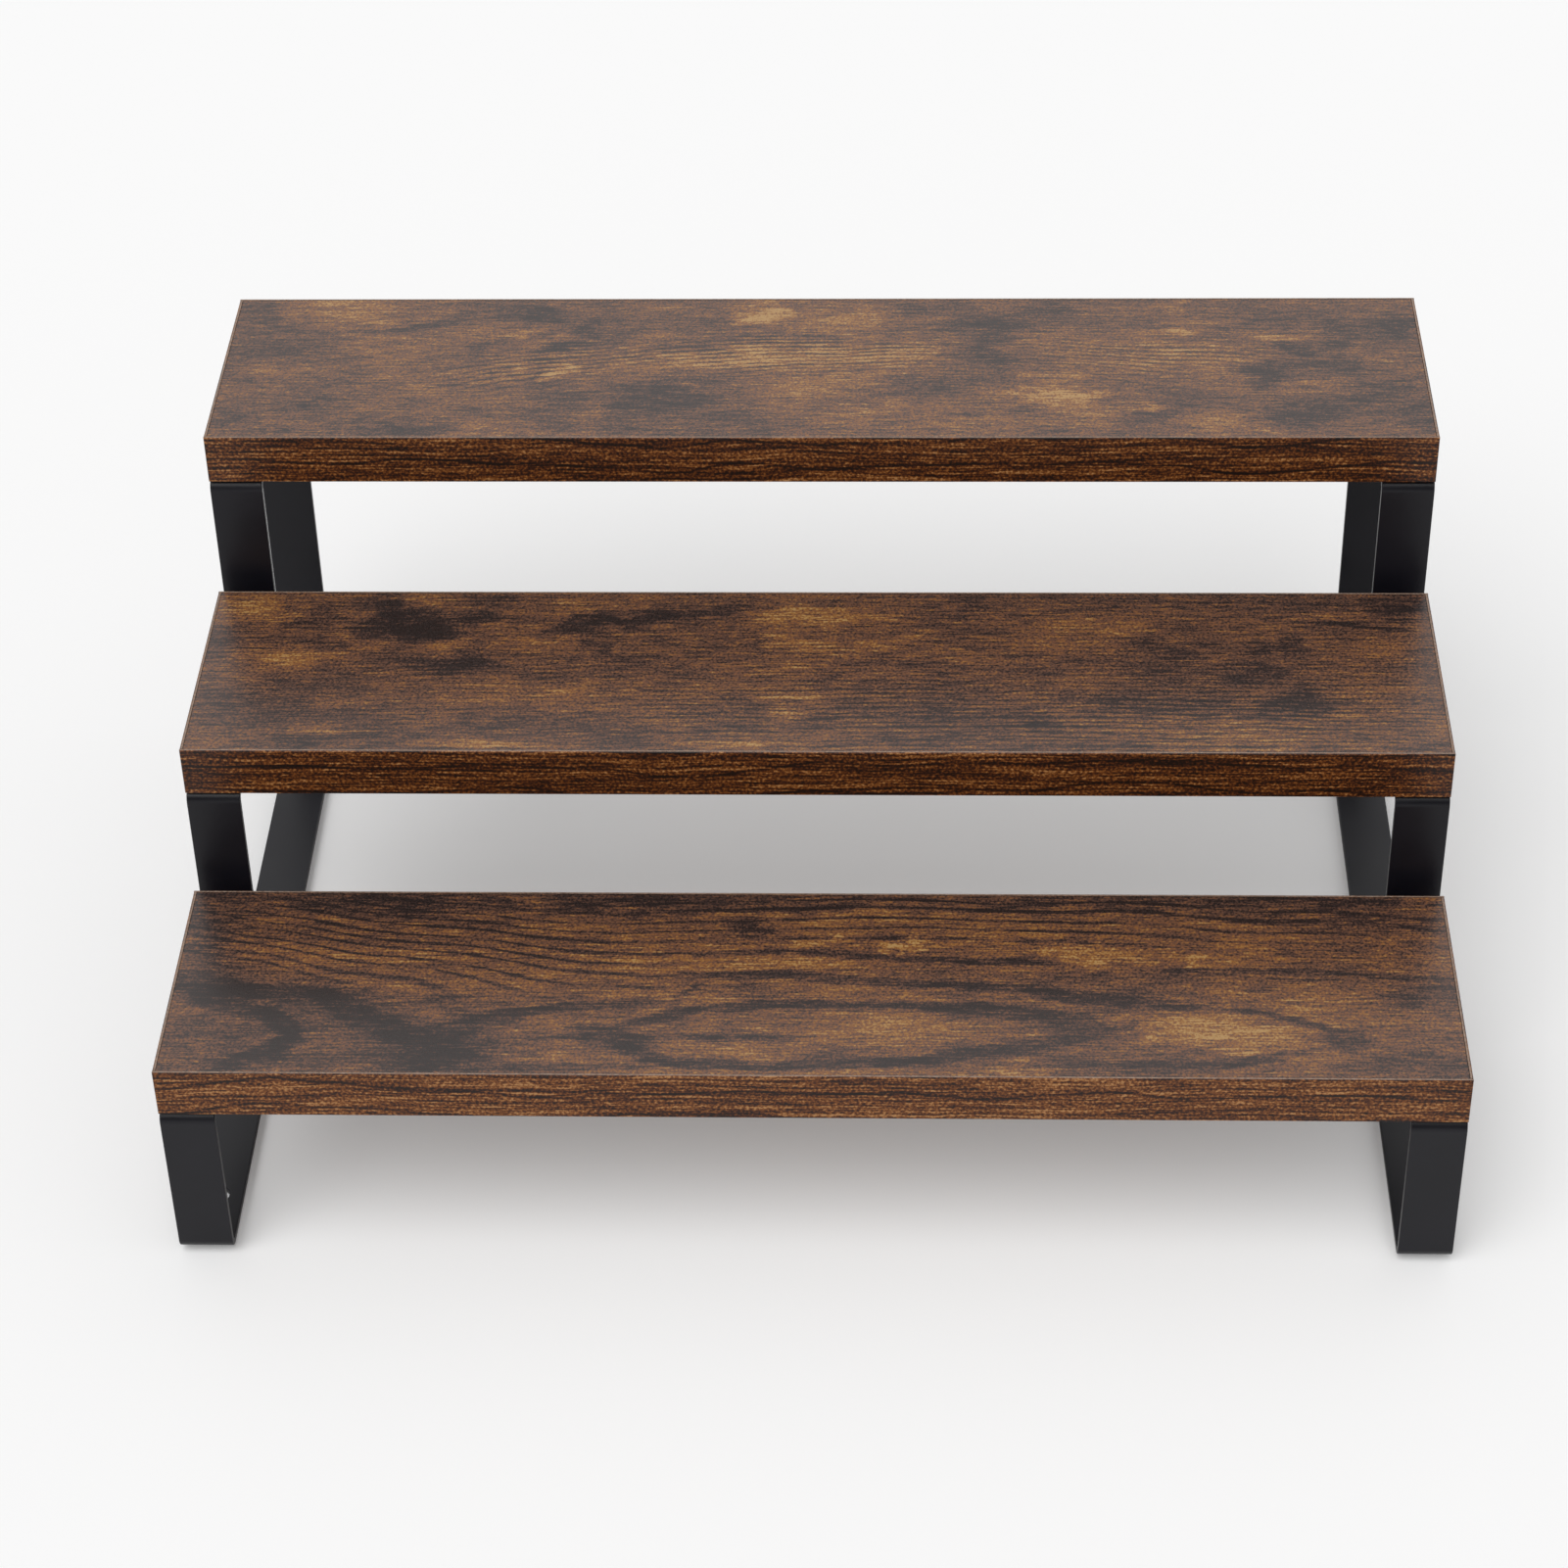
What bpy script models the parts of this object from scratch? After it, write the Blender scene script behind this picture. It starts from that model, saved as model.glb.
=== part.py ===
"""Three-tier display riser stand.

Three laminated particle boards stand as steps on two side frames. Each frame is one flat steel strip,
bent into a closed staircase loop and powder coated. Wood screws come up through the frame's treads into the
boards, and round pads under the floor rails keep the steel off the counter.

Metres, +Z up, the front of the stand towards -Y, origin on the counter under the middle of the stand.
"""

import math

import bmesh
import bpy
from mathutils import Matrix, Vector

# Boards: a core between two laminates, with bands glued round its four edges
BOARD_WIDTH = 0.350
BOARD_DEPTH = 0.076
CORE_THICKNESS = 0.0138
LAMINATE_THICKNESS = 0.0005
EDGE_BAND_THICKNESS = 0.0008
EDGE_BAND_ROUNDING = 0.0003
GLUE_LINE = 0.0001

# Side frames: the lowest tread's upper face stands above the floor rail's underside, and each rise runs from
# one tread's upper face to the next
STRIP_WIDTH = 0.015
STRIP_THICKNESS = 0.002
STRIP_EDGE_ROUNDING = 0.0003
BEND_INNER_RADIUS = 0.0015
LOWER_TREAD_HEIGHT = 0.051
MIDDLE_RISE = 0.045
UPPER_RISE = 0.049
BOARD_BACK_CLEARANCE = 0.006
BOARD_SEAT_GAP = 0.0002

# Pan-head wood screws, two into each end of each board
SCREW_FRONT_DISTANCE = 0.020
SCREW_BACK_DISTANCE = 0.018
SCREW_SHANK_DIAMETER = 0.0038
SCREW_HEAD_DIAMETER = 0.0072
SCREW_HEAD_HEIGHT = 0.0024
SCREW_HEAD_ROUNDING = 0.0012
SCREW_POINT_LENGTH = 0.0035
SCREW_TIP_COVER = 0.0045
SCREW_CLEARANCE = 0.0002
DRIVE_RECESS_SPAN = 0.0040
DRIVE_RECESS_SLOT = 0.0010
DRIVE_RECESS_DEPTH = 0.0012

# Holes in the floor rail that let a screwdriver reach the low tread above it
DRIVER_HOLE_DIAMETER = 0.007

# Round self-adhesive pads
PAD_MARGIN = 0.0025
PAD_THICKNESS = 0.0015
PAD_BEND_CLEARANCE = 0.001
PAD_ROUNDING = 0.0004

# Facets of the round shapes, and how near two points count as one
BEND_SEGMENTS = 6
ROUNDING_SEGMENTS = 2
HOLE_SEGMENTS = 20
SCREW_SEGMENTS = 16
HEAD_ROUNDING_SEGMENTS = 3
PAD_SEGMENTS = 24
SHARP_ANGLE = math.radians(35)
SAME_SPOT = 1e-6

# Sizes that follow from the ones above
BOARD_THICKNESS = CORE_THICKNESS + 2 * (LAMINATE_THICKNESS + GLUE_LINE)
BAND_ALLOWANCE = EDGE_BAND_THICKNESS + GLUE_LINE
PANEL_WIDTH = BOARD_WIDTH - 2 * BAND_ALLOWANCE
PANEL_DEPTH = BOARD_DEPTH - 2 * BAND_ALLOWANCE
TIER_PITCH = BOARD_DEPTH + BOARD_BACK_CLEARANCE
STAND_DEPTH = 2 * TIER_PITCH + BOARD_DEPTH
FRONT_Y = -STAND_DEPTH / 2
BACK_Y = STAND_DEPTH / 2
FRAME_X = (BOARD_WIDTH - STRIP_WIDTH) / 2
RAIL_UNDERSIDE_Z = PAD_THICKNESS + GLUE_LINE
BEND_OUTER_RADIUS = BEND_INNER_RADIUS + STRIP_THICKNESS
PAD_DIAMETER = STRIP_WIDTH - 2 * PAD_MARGIN
PAD_END_DISTANCE = BEND_OUTER_RADIUS + PAD_BEND_CLEARANCE + PAD_DIAMETER / 2
SCREW_HOLE_DIAMETER = SCREW_SHANK_DIAMETER + 2 * SCREW_CLEARANCE
SCREW_LENGTH = (
    SCREW_CLEARANCE + STRIP_THICKNESS + BOARD_SEAT_GAP + BOARD_THICKNESS - SCREW_TIP_COVER
)
SCREW_HOLE_DEPTH = BOARD_THICKNESS - SCREW_TIP_COVER + SCREW_CLEARANCE

# Each tier: its name, the y of its board's front edge and the z of its tread's upper face
TIERS = (
    ("lower", FRONT_Y, RAIL_UNDERSIDE_Z + LOWER_TREAD_HEIGHT),
    ("middle", FRONT_Y + TIER_PITCH, RAIL_UNDERSIDE_Z + LOWER_TREAD_HEIGHT + MIDDLE_RISE),
    (
        "upper",
        FRONT_Y + 2 * TIER_PITCH,
        RAIL_UNDERSIDE_Z + LOWER_TREAD_HEIGHT + MIDDLE_RISE + UPPER_RISE,
    ),
)
SIDES = (("left", -1), ("right", 1))


# Scene, materials and shared shapes


def clear_scene():
    for obj in list(bpy.data.objects):
        bpy.data.objects.remove(obj)


def finish(name, colour, roughness, metallic=0.0):
    """A plain surface finish: linear colour, roughness and metallic value."""
    material = bpy.data.materials.new(name)
    material.use_nodes = True
    shader = material.node_tree.nodes["Principled BSDF"]
    shader.inputs["Base Color"].default_value = (*colour, 1.0)
    shader.inputs["Roughness"].default_value = roughness
    shader.inputs["Metallic"].default_value = metallic
    return material


def add_empty(name, parent=None, location=(0, 0, 0)):
    empty = bpy.data.objects.new(name, None)
    bpy.context.scene.collection.objects.link(empty)
    empty.parent = parent
    empty.location = location
    return empty


def add_object(name, mesh, material, parent=None, location=(0, 0, 0)):
    obj = bpy.data.objects.new(name, mesh)
    bpy.context.scene.collection.objects.link(obj)
    obj.parent = parent
    obj.location = location
    if not mesh.materials:
        mesh.materials.append(material)
    return obj


def mesh_from(name, shape):
    """Turns a bmesh into a mesh with smooth shading between its shallow facets."""
    mesh = bpy.data.meshes.new(name)
    shape.to_mesh(mesh)
    shape.free()
    mesh.shade_smooth()
    mesh.set_sharp_from_angle(angle=SHARP_ANGLE)
    return mesh


def block(size):
    """A bmesh box of that size about the origin."""
    shape = bmesh.new()
    bmesh.ops.create_cube(shape, size=1.0)
    bmesh.ops.scale(shape, vec=size, verts=shape.verts)
    return shape


def runs_along(edge, axis):
    """Whether an edge runs along that axis, 0 for X to 2 for Z."""
    run = edge.verts[1].co - edge.verts[0].co
    return abs(run[axis]) > run.length / 2


def round_edges(shape, edges, radius, segments):
    bmesh.ops.bevel(
        shape,
        geom=edges,
        offset=radius,
        offset_type="OFFSET",
        segments=segments,
        profile=0.5,
        affect="EDGES",
    )


def add_cylinder(shape, diameter, bottom, height, segments):
    """Adds an upright cylinder to a bmesh, standing on the point bottom."""
    bmesh.ops.create_cone(
        shape,
        cap_ends=True,
        segments=segments,
        radius1=diameter / 2,
        radius2=diameter / 2,
        depth=height,
        matrix=Matrix.Translation(Vector(bottom) + Vector((0, 0, height / 2))),
    )


def turned(profile, segments):
    """A bmesh turned about Z from (radius, height) points that start and end on the axis."""
    shape = bmesh.new()
    points = [shape.verts.new((radius, 0, height)) for radius, height in profile]
    edges = [shape.edges.new(pair) for pair in zip(points, points[1:])]
    bmesh.ops.spin(
        shape,
        geom=points + edges,
        axis=(0, 0, 1),
        cent=(0, 0, 0),
        angle=math.tau,
        steps=segments,
    )
    bmesh.ops.remove_doubles(shape, verts=shape.verts, dist=SAME_SPOT)
    bmesh.ops.dissolve_degenerate(shape, edges=shape.edges, dist=SAME_SPOT)
    bmesh.ops.recalc_face_normals(shape, faces=shape.faces)
    return shape


def add_cutter(name, shape, parent=None, location=(0, 0, 0)):
    """A hidden solid that a Boolean takes away from a part."""
    cutter = bpy.data.objects.new(name, mesh_from(name, shape))
    bpy.context.scene.collection.objects.link(cutter)
    cutter.parent = parent
    cutter.location = location
    cutter.hide_render = True
    cutter.display_type = "WIRE"
    return cutter


def cut(obj, cutter):
    boolean = obj.modifiers.new(cutter.name, "BOOLEAN")
    boolean.operation = "DIFFERENCE"
    boolean.object = cutter


# Boards


def screw_depths():
    """How far behind a board's front edge its two rows of screws stand."""
    return SCREW_FRONT_DISTANCE, BOARD_DEPTH - SCREW_BACK_DISTANCE


def screw_spots(board_front_y):
    """The (x, y) of the four screws of the board whose front edge is at that y."""
    return [
        (side * FRAME_X, board_front_y + depth) for _, side in SIDES for depth in screw_depths()
    ]


def rounded_band(size, outward, along):
    """A bmesh edge band whose outer edges are eased, as a trimmer leaves them.

    outward is the axis and sign of the face that shows. along lists the axes of that face's edges to ease.
    """
    shape = block(size)
    axis, sign = outward
    outer_edges = []
    for edge in shape.edges:
        on_face = all(sign * v.co[axis] > 0 for v in edge.verts)
        if on_face and any(runs_along(edge, wanted) for wanted in along):
            outer_edges.append(edge)
    round_edges(shape, outer_edges, EDGE_BAND_ROUNDING, ROUNDING_SEGMENTS)
    return shape


def build_board(tier, board_front_y, tread_z, parent, materials):
    """One board: core, two laminates and four edge bands, all placed from the board's own centre."""
    base_z = tread_z + BOARD_SEAT_GAP
    centre_y = board_front_y + BOARD_DEPTH / 2
    board = add_empty(f"{tier}_board", parent, (0, centre_y, base_z + BOARD_THICKNESS / 2))

    holes = bmesh.new()
    for x, y in screw_spots(-BOARD_DEPTH / 2):
        below = Vector((x, y, -BOARD_THICKNESS / 2 - BOARD_SEAT_GAP))
        add_cylinder(
            holes, SCREW_HOLE_DIAMETER, below, SCREW_HOLE_DEPTH + BOARD_SEAT_GAP, HOLE_SEGMENTS
        )
    drilling = add_cutter(f"{tier}_board_drilling", holes, board)

    core_mesh = mesh_from(f"{tier}_core", block((PANEL_WIDTH, PANEL_DEPTH, CORE_THICKNESS)))
    core = add_object(f"{tier}_board_core", core_mesh, materials["core"], board)
    cut(core, drilling)

    laminate_z = (CORE_THICKNESS + LAMINATE_THICKNESS) / 2 + GLUE_LINE
    for face, sign in (("top", 1), ("bottom", -1)):
        sheet = mesh_from(
            f"{tier}_{face}_laminate", block((PANEL_WIDTH, PANEL_DEPTH, LAMINATE_THICKNESS))
        )
        name = f"{tier}_board_{face}_laminate"
        laminate = add_object(name, sheet, materials["laminate"], board, (0, 0, sign * laminate_z))
        if face == "bottom":
            cut(laminate, drilling)

    band_y = (BOARD_DEPTH - EDGE_BAND_THICKNESS) / 2
    for edge, sign in (("front", -1), ("back", 1)):
        shape = rounded_band((BOARD_WIDTH, EDGE_BAND_THICKNESS, BOARD_THICKNESS), (1, sign), (0, 2))
        add_object(
            f"{tier}_board_{edge}_edge_band",
            mesh_from(f"{tier}_{edge}_band", shape),
            materials["edge_band"],
            board,
            (0, sign * band_y, 0),
        )
    band_x = (BOARD_WIDTH - EDGE_BAND_THICKNESS) / 2
    for side, sign in SIDES:
        shape = rounded_band((EDGE_BAND_THICKNESS, PANEL_DEPTH, BOARD_THICKNESS), (0, sign), (1,))
        add_object(
            f"{tier}_board_{side}_edge_band",
            mesh_from(f"{tier}_{side}_band", shape),
            materials["edge_band"],
            board,
            (sign * band_x, 0, 0),
        )


# Side frames


def frame_outline():
    """The strip's outer corners in side view, as (y, z, convex), in the order a bender meets them."""
    corners = [(FRONT_Y, RAIL_UNDERSIDE_Z, True)]
    for index, (_, riser_y, tread_z) in enumerate(TIERS):
        if index:
            corners.append((riser_y, TIERS[index - 1][2], False))
        corners.append((riser_y, tread_z, True))
    corners.append((BACK_Y, TIERS[-1][2], True))
    corners.append((BACK_Y, RAIL_UNDERSIDE_Z, True))
    return corners


def strip_ribbon():
    """The strip's outer face as a bent ribbon, one strip width across X."""
    ribbon = bmesh.new()
    corners = frame_outline()
    points = [ribbon.verts.new((-STRIP_WIDTH / 2, y, z)) for y, z, _ in corners]
    for start, end in zip(points, points[1:] + points[:1]):
        ribbon.edges.new((start, end))
    swept = bmesh.ops.extrude_edge_only(ribbon, edges=ribbon.edges[:])
    new_points = [v for v in swept["geom"] if isinstance(v, bmesh.types.BMVert)]
    bmesh.ops.translate(ribbon, vec=(STRIP_WIDTH, 0, 0), verts=new_points)
    bmesh.ops.recalc_face_normals(ribbon, faces=ribbon.faces)
    round_bends(ribbon, corners)
    point_outwards(ribbon)
    return ribbon


def round_bends(ribbon, corners):
    """Rounds every bend: the outer radius on a convex corner, the inner one on a concave corner."""
    for convex, radius in ((True, BEND_OUTER_RADIUS), (False, BEND_INNER_RADIUS)):
        wanted = [Vector((y, z)) for y, z, is_convex in corners if is_convex == convex]
        creases = []
        for edge in ribbon.edges:
            corner = edge.verts[0].co.yz
            if runs_along(edge, 0) and any((corner - spot).length < SAME_SPOT for spot in wanted):
                creases.append(edge)
        round_edges(ribbon, creases, radius, BEND_SEGMENTS)


def point_outwards(ribbon):
    """Turns the ribbon's faces away from the inside of the loop."""
    rail = min(ribbon.faces, key=lambda face: face.calc_center_median().z)
    rail.normal_update()
    if rail.normal.z > 0:
        bmesh.ops.reverse_faces(ribbon, faces=ribbon.faces)


def frame_holes():
    """Upright cutters for a frame's screw holes and for the driver holes under the lowest tread."""
    holes = bmesh.new()
    reach = 2 * STRIP_THICKNESS
    for _, front_y, tread_z in TIERS:
        for depth in screw_depths():
            below = (0, front_y + depth, tread_z - STRIP_THICKNESS - reach / 2)
            add_cylinder(holes, SCREW_HOLE_DIAMETER, below, STRIP_THICKNESS + reach, HOLE_SEGMENTS)
    for depth in screw_depths():
        below = (0, FRONT_Y + depth, RAIL_UNDERSIDE_Z - reach / 2)
        add_cylinder(holes, DRIVER_HOLE_DIAMETER, below, STRIP_THICKNESS + reach, HOLE_SEGMENTS)
    return holes


def build_frame(side, sign, parent, material):
    """One side frame: the bent ribbon given its thickness, eased edges and drilled holes."""
    place = (sign * FRAME_X, 0, 0)
    mesh = mesh_from(f"{side}_strip", strip_ribbon())
    frame = add_object(f"{side}_side_frame", mesh, material, parent, place)

    thickness = frame.modifiers.new("strip_thickness", "SOLIDIFY")
    thickness.thickness = STRIP_THICKNESS
    thickness.offset = -1
    thickness.use_even_offset = True
    thickness.use_rim = True

    easing = frame.modifiers.new("eased_edges", "BEVEL")
    easing.width = STRIP_EDGE_ROUNDING
    easing.segments = 1
    easing.limit_method = "ANGLE"
    easing.angle_limit = SHARP_ANGLE

    cut(frame, add_cutter(f"{side}_frame_drilling", frame_holes(), parent, place))


# Screws


def screw_profile():
    """(radius, height) points of a screw that stands point up, its head's bearing face at height 0."""
    head_radius = SCREW_HEAD_DIAMETER / 2
    profile = [(0, SCREW_LENGTH)]
    profile.append((SCREW_SHANK_DIAMETER / 2, SCREW_LENGTH - SCREW_POINT_LENGTH))
    profile.append((SCREW_SHANK_DIAMETER / 2, 0))
    profile.append((head_radius, 0))
    for step in range(HEAD_ROUNDING_SEGMENTS + 1):
        turn = math.pi / 2 * step / HEAD_ROUNDING_SEGMENTS
        radius = head_radius - SCREW_HEAD_ROUNDING * (1 - math.cos(turn))
        height = -SCREW_HEAD_HEIGHT + SCREW_HEAD_ROUNDING * (1 - math.sin(turn))
        profile.append((radius, height))
    profile.append((0, -SCREW_HEAD_HEIGHT))
    return profile


def cross_recess():
    """A plus-shaped prism that cuts the drive recess into the head from below."""
    shape = bmesh.new()
    span = DRIVE_RECESS_SPAN / 2
    slot = DRIVE_RECESS_SLOT / 2
    quarter = [(span, -slot), (span, slot), (slot, slot)]
    points = []
    for turn in range(4):
        spin = Matrix.Rotation(turn * math.pi / 2, 2)
        points += [spin @ Vector(corner) for corner in quarter]
    bottom_z = -SCREW_HEAD_HEIGHT - DRIVE_RECESS_DEPTH
    face = shape.faces.new([shape.verts.new((x, y, bottom_z)) for x, y in points])
    raised = bmesh.ops.extrude_face_region(shape, geom=[face])
    top = [v for v in raised["geom"] if isinstance(v, bmesh.types.BMVert)]
    bmesh.ops.translate(shape, vec=(0, 0, 2 * DRIVE_RECESS_DEPTH), verts=top)
    bmesh.ops.recalc_face_normals(shape, faces=shape.faces)
    return shape


def screw_mesh():
    """One finished screw as a mesh that every screw object shares."""
    blank_mesh = mesh_from("screw_blank", turned(screw_profile(), SCREW_SEGMENTS))
    blank = bpy.data.objects.new("screw_blank", blank_mesh)
    bpy.context.scene.collection.objects.link(blank)
    punch = add_cutter("screw_punch", cross_recess())
    cut(blank, punch)
    graph = bpy.context.evaluated_depsgraph_get()
    mesh = bpy.data.meshes.new_from_object(blank.evaluated_get(graph))
    mesh.name = "wood_screw"
    bpy.data.objects.remove(blank)
    bpy.data.objects.remove(punch)
    return mesh


def build_screws(parent, material):
    mesh = screw_mesh()
    for tier, front_y, tread_z in TIERS:
        bearing_z = tread_z - STRIP_THICKNESS - SCREW_CLEARANCE
        for side, sign in SIDES:
            for row, depth in zip(("front", "back"), screw_depths()):
                place = (sign * FRAME_X, front_y + depth, bearing_z)
                add_object(f"{tier}_{side}_{row}_screw", mesh, material, parent, place)


# Pads


def pad_mesh():
    """A round pad with its lower rim eased, its upper face at height 0."""
    shape = bmesh.new()
    add_cylinder(shape, PAD_DIAMETER, (0, 0, -PAD_THICKNESS), PAD_THICKNESS, PAD_SEGMENTS)
    rim = [e for e in shape.edges if all(v.co.z < -PAD_THICKNESS / 2 for v in e.verts)]
    round_edges(shape, rim, PAD_ROUNDING, ROUNDING_SEGMENTS)
    return mesh_from("foot_pad", shape)


def build_pads(parent, material):
    mesh = pad_mesh()
    for row, y in (("front", FRONT_Y + PAD_END_DISTANCE), ("back", BACK_Y - PAD_END_DISTANCE)):
        for side, sign in SIDES:
            place = (sign * FRAME_X, y, PAD_THICKNESS)
            add_object(f"{row}_{side}_foot_pad", mesh, material, parent, place)


def build():
    clear_scene()
    materials = {
        "laminate": finish("rustic brown melamine laminate", (0.082, 0.042, 0.024), 0.5),
        "edge_band": finish("rustic brown edge band", (0.105, 0.050, 0.022), 0.45),
        "core": finish("particle board", (0.42, 0.29, 0.17), 0.9),
        "steel": finish("black powder-coated steel", (0.018, 0.018, 0.020), 0.5),
        "screw": finish("zinc-plated steel", (0.62, 0.62, 0.60), 0.35, 1.0),
        "pad": finish("black rubber", (0.02, 0.02, 0.02), 0.9),
    }
    stand = add_empty("display_riser_stand")
    for tier, front_y, tread_z in TIERS:
        build_board(tier, front_y, tread_z, stand, materials)
    for side, sign in SIDES:
        build_frame(side, sign, stand, materials["steel"])
    build_screws(stand, materials["screw"])
    build_pads(stand, materials["pad"])


build()
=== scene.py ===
"""Looks of the three-tier display riser stand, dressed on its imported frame.

Metres, +Z up, the front of the stand towards -Y, origin on the counter under the middle of the stand.
"""

import math

import bmesh
import bpy
from mathutils import Matrix, Vector


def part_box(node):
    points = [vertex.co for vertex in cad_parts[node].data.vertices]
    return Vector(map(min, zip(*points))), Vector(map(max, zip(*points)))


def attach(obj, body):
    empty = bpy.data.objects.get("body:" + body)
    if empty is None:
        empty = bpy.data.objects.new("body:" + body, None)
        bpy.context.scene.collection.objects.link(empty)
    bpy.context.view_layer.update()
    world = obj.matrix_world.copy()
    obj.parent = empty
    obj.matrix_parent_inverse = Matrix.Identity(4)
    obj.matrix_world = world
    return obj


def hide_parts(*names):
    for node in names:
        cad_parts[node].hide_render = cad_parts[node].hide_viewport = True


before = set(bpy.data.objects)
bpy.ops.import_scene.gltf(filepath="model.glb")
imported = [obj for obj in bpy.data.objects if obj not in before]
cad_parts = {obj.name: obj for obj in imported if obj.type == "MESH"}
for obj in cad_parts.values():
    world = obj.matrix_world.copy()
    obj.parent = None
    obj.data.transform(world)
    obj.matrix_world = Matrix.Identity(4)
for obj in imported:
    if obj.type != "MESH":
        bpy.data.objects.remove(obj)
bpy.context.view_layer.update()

# Side frames: each is one flat steel strip, 15 x 2 mm, bent round a staircase path and closed under the
# back. Treads are drilled for the wood screws, and the floor rail for the screwdriver that reaches the
# lowest tread. The loop is powder coated matte black after bending, so the coat softens every edge.
TIERS = ("lower", "middle", "upper")
ROWS = ("front", "back")
STRIP_THICKNESS = 0.002
STRIP_EDGE_ROUNDING = 0.0003
BEND_INNER_RADIUS = 0.0015
BEND_SEGMENTS = 10
EDGE_SEGMENTS = 3
SEAT_GAP = 0.0002
SCREW_HOLE_DIAMETER = 0.0042
DRIVER_HOLE_DIAMETER = 0.007
HOLE_SEGMENTS = 32
SHARP_ANGLE = math.radians(35)
SAME_SPOT = 1e-6


def box_middle(node):
    """The middle of a CAD node's box."""
    low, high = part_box(node)
    return (low + high) / 2


def begin(name):
    """Names the primitive that was just added and opens it for editing."""
    piece = bpy.context.object
    piece.name = name
    piece.data.name = name
    bpy.ops.object.mode_set(mode="EDIT")
    return piece


def pick(piece, kind, wanted):
    """Selects, in edit mode, the edges or faces that wanted says yes to, and nothing else."""
    bpy.ops.mesh.select_mode(type=kind)
    bpy.ops.mesh.select_all(action="DESELECT")
    shape = bmesh.from_edit_mesh(piece.data)
    for element in shape.edges if kind == "EDGE" else shape.faces:
        if wanted(element):
            element.select_set(True)
    shape.select_flush_mode()
    bmesh.update_edit_mesh(piece.data)


def middle_of(edge):
    """The point halfway along an edge."""
    return (edge.verts[0].co + edge.verts[1].co) / 2


def apply_modifier(piece, kind, **settings):
    """Gives a piece a modifier with its settings and applies it at once."""
    modifier = piece.modifiers.new(kind.lower(), kind)
    for name, value in settings.items():
        setattr(modifier, name, value)
    bpy.context.view_layer.objects.active = piece
    bpy.ops.object.modifier_apply(modifier=modifier.name)


def close_up(piece):
    """Merges doubles, turns faces outwards, puts the place into the mesh and smooths the rounds."""
    bpy.ops.object.mode_set(mode="EDIT")
    bpy.ops.mesh.select_all(action="SELECT")
    bpy.ops.mesh.remove_doubles(threshold=SAME_SPOT)
    bpy.ops.mesh.normals_make_consistent(inside=False)
    bpy.ops.object.mode_set(mode="OBJECT")
    bpy.ops.object.transform_apply(location=True, rotation=True, scale=True)
    bpy.ops.object.shade_smooth_by_angle(angle=SHARP_ANGLE)
    apply_modifier(piece, "WEIGHTED_NORMAL", weight=100, keep_sharp=True)


def copy_piece(piece, name, move):
    """A copy of a finished piece with its own mesh, moved within that mesh."""
    copy = piece.copy()
    copy.data = piece.data.copy()
    copy.name = name
    copy.data.name = name
    copy.data.transform(Matrix.Translation(move))
    bpy.context.scene.collection.objects.link(copy)
    return copy


strip_low, strip_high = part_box("left_side_frame")
strip_x = box_middle("left_side_frame").x
strip_width = strip_high.x - strip_low.x
frame_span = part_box("right_side_frame")[0].x - strip_low.x
riser_y = {tier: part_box(f"{tier}_board_front_edge_band")[0].y for tier in TIERS}
tread_z = {tier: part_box(f"{tier}_board_front_edge_band")[0].z - SEAT_GAP for tier in TIERS}

# The floor rail is drawn out to the back, and its end then goes round the staircase to the front again
bpy.ops.object.select_all(action="DESELECT")
rail_front = (strip_x, strip_low.y + strip_width / 2, strip_low.z)
bpy.ops.mesh.primitive_plane_add(size=strip_width, location=rail_front)
left_frame = begin("left_frame_strip")
left_frame.location = (0, 0, 0)
bpy.ops.transform.translate(value=rail_front)
pick(left_frame, "EDGE", lambda edge: abs(middle_of(edge).y - strip_low.y - strip_width) < SAME_SPOT)
bpy.ops.transform.translate(value=(0, strip_high.y - strip_low.y - strip_width, 0))
bend_path = [(strip_high.y, tread_z["upper"])]
for tier, foot_z in (
    ("upper", tread_z["middle"]),
    ("middle", tread_z["lower"]),
    ("lower", strip_low.z),
):
    bend_path += [(riser_y[tier], tread_z[tier]), (riser_y[tier], foot_z)]
here_y, here_z = strip_high.y, strip_low.z
for next_y, next_z in bend_path:
    bpy.ops.mesh.extrude_region_move(
        TRANSFORM_OT_translate={"value": (0, next_y - here_y, next_z - here_z)}
    )
    here_y, here_z = next_y, next_z
bpy.ops.mesh.select_all(action="SELECT")
bpy.ops.mesh.remove_doubles(threshold=SAME_SPOT)

# The sheet is the strip's outer face, so the two bends that turn inwards have the smaller radius
inner_corners = [(riser_y["middle"], tread_z["lower"]), (riser_y["upper"], tread_z["middle"])]


def is_bend(edge, inwards):
    """Says whether an edge crosses the strip at a bend that turns inwards, or else outwards."""
    corner = middle_of(edge).yz
    crosses = abs(edge.verts[0].co.x - edge.verts[1].co.x) > SAME_SPOT
    return crosses and inwards == any((corner - Vector(spot)).length < SAME_SPOT for spot in inner_corners)


pick(left_frame, "EDGE", lambda edge: is_bend(edge, False))
bpy.ops.mesh.bevel(offset=BEND_INNER_RADIUS + STRIP_THICKNESS, segments=BEND_SEGMENTS, affect="EDGES")
pick(left_frame, "EDGE", lambda edge: is_bend(edge, True))
bpy.ops.mesh.bevel(offset=BEND_INNER_RADIUS, segments=BEND_SEGMENTS, affect="EDGES")
bpy.ops.mesh.select_all(action="SELECT")
bpy.ops.mesh.normals_make_consistent(inside=False)
bpy.ops.object.mode_set(mode="OBJECT")

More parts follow.
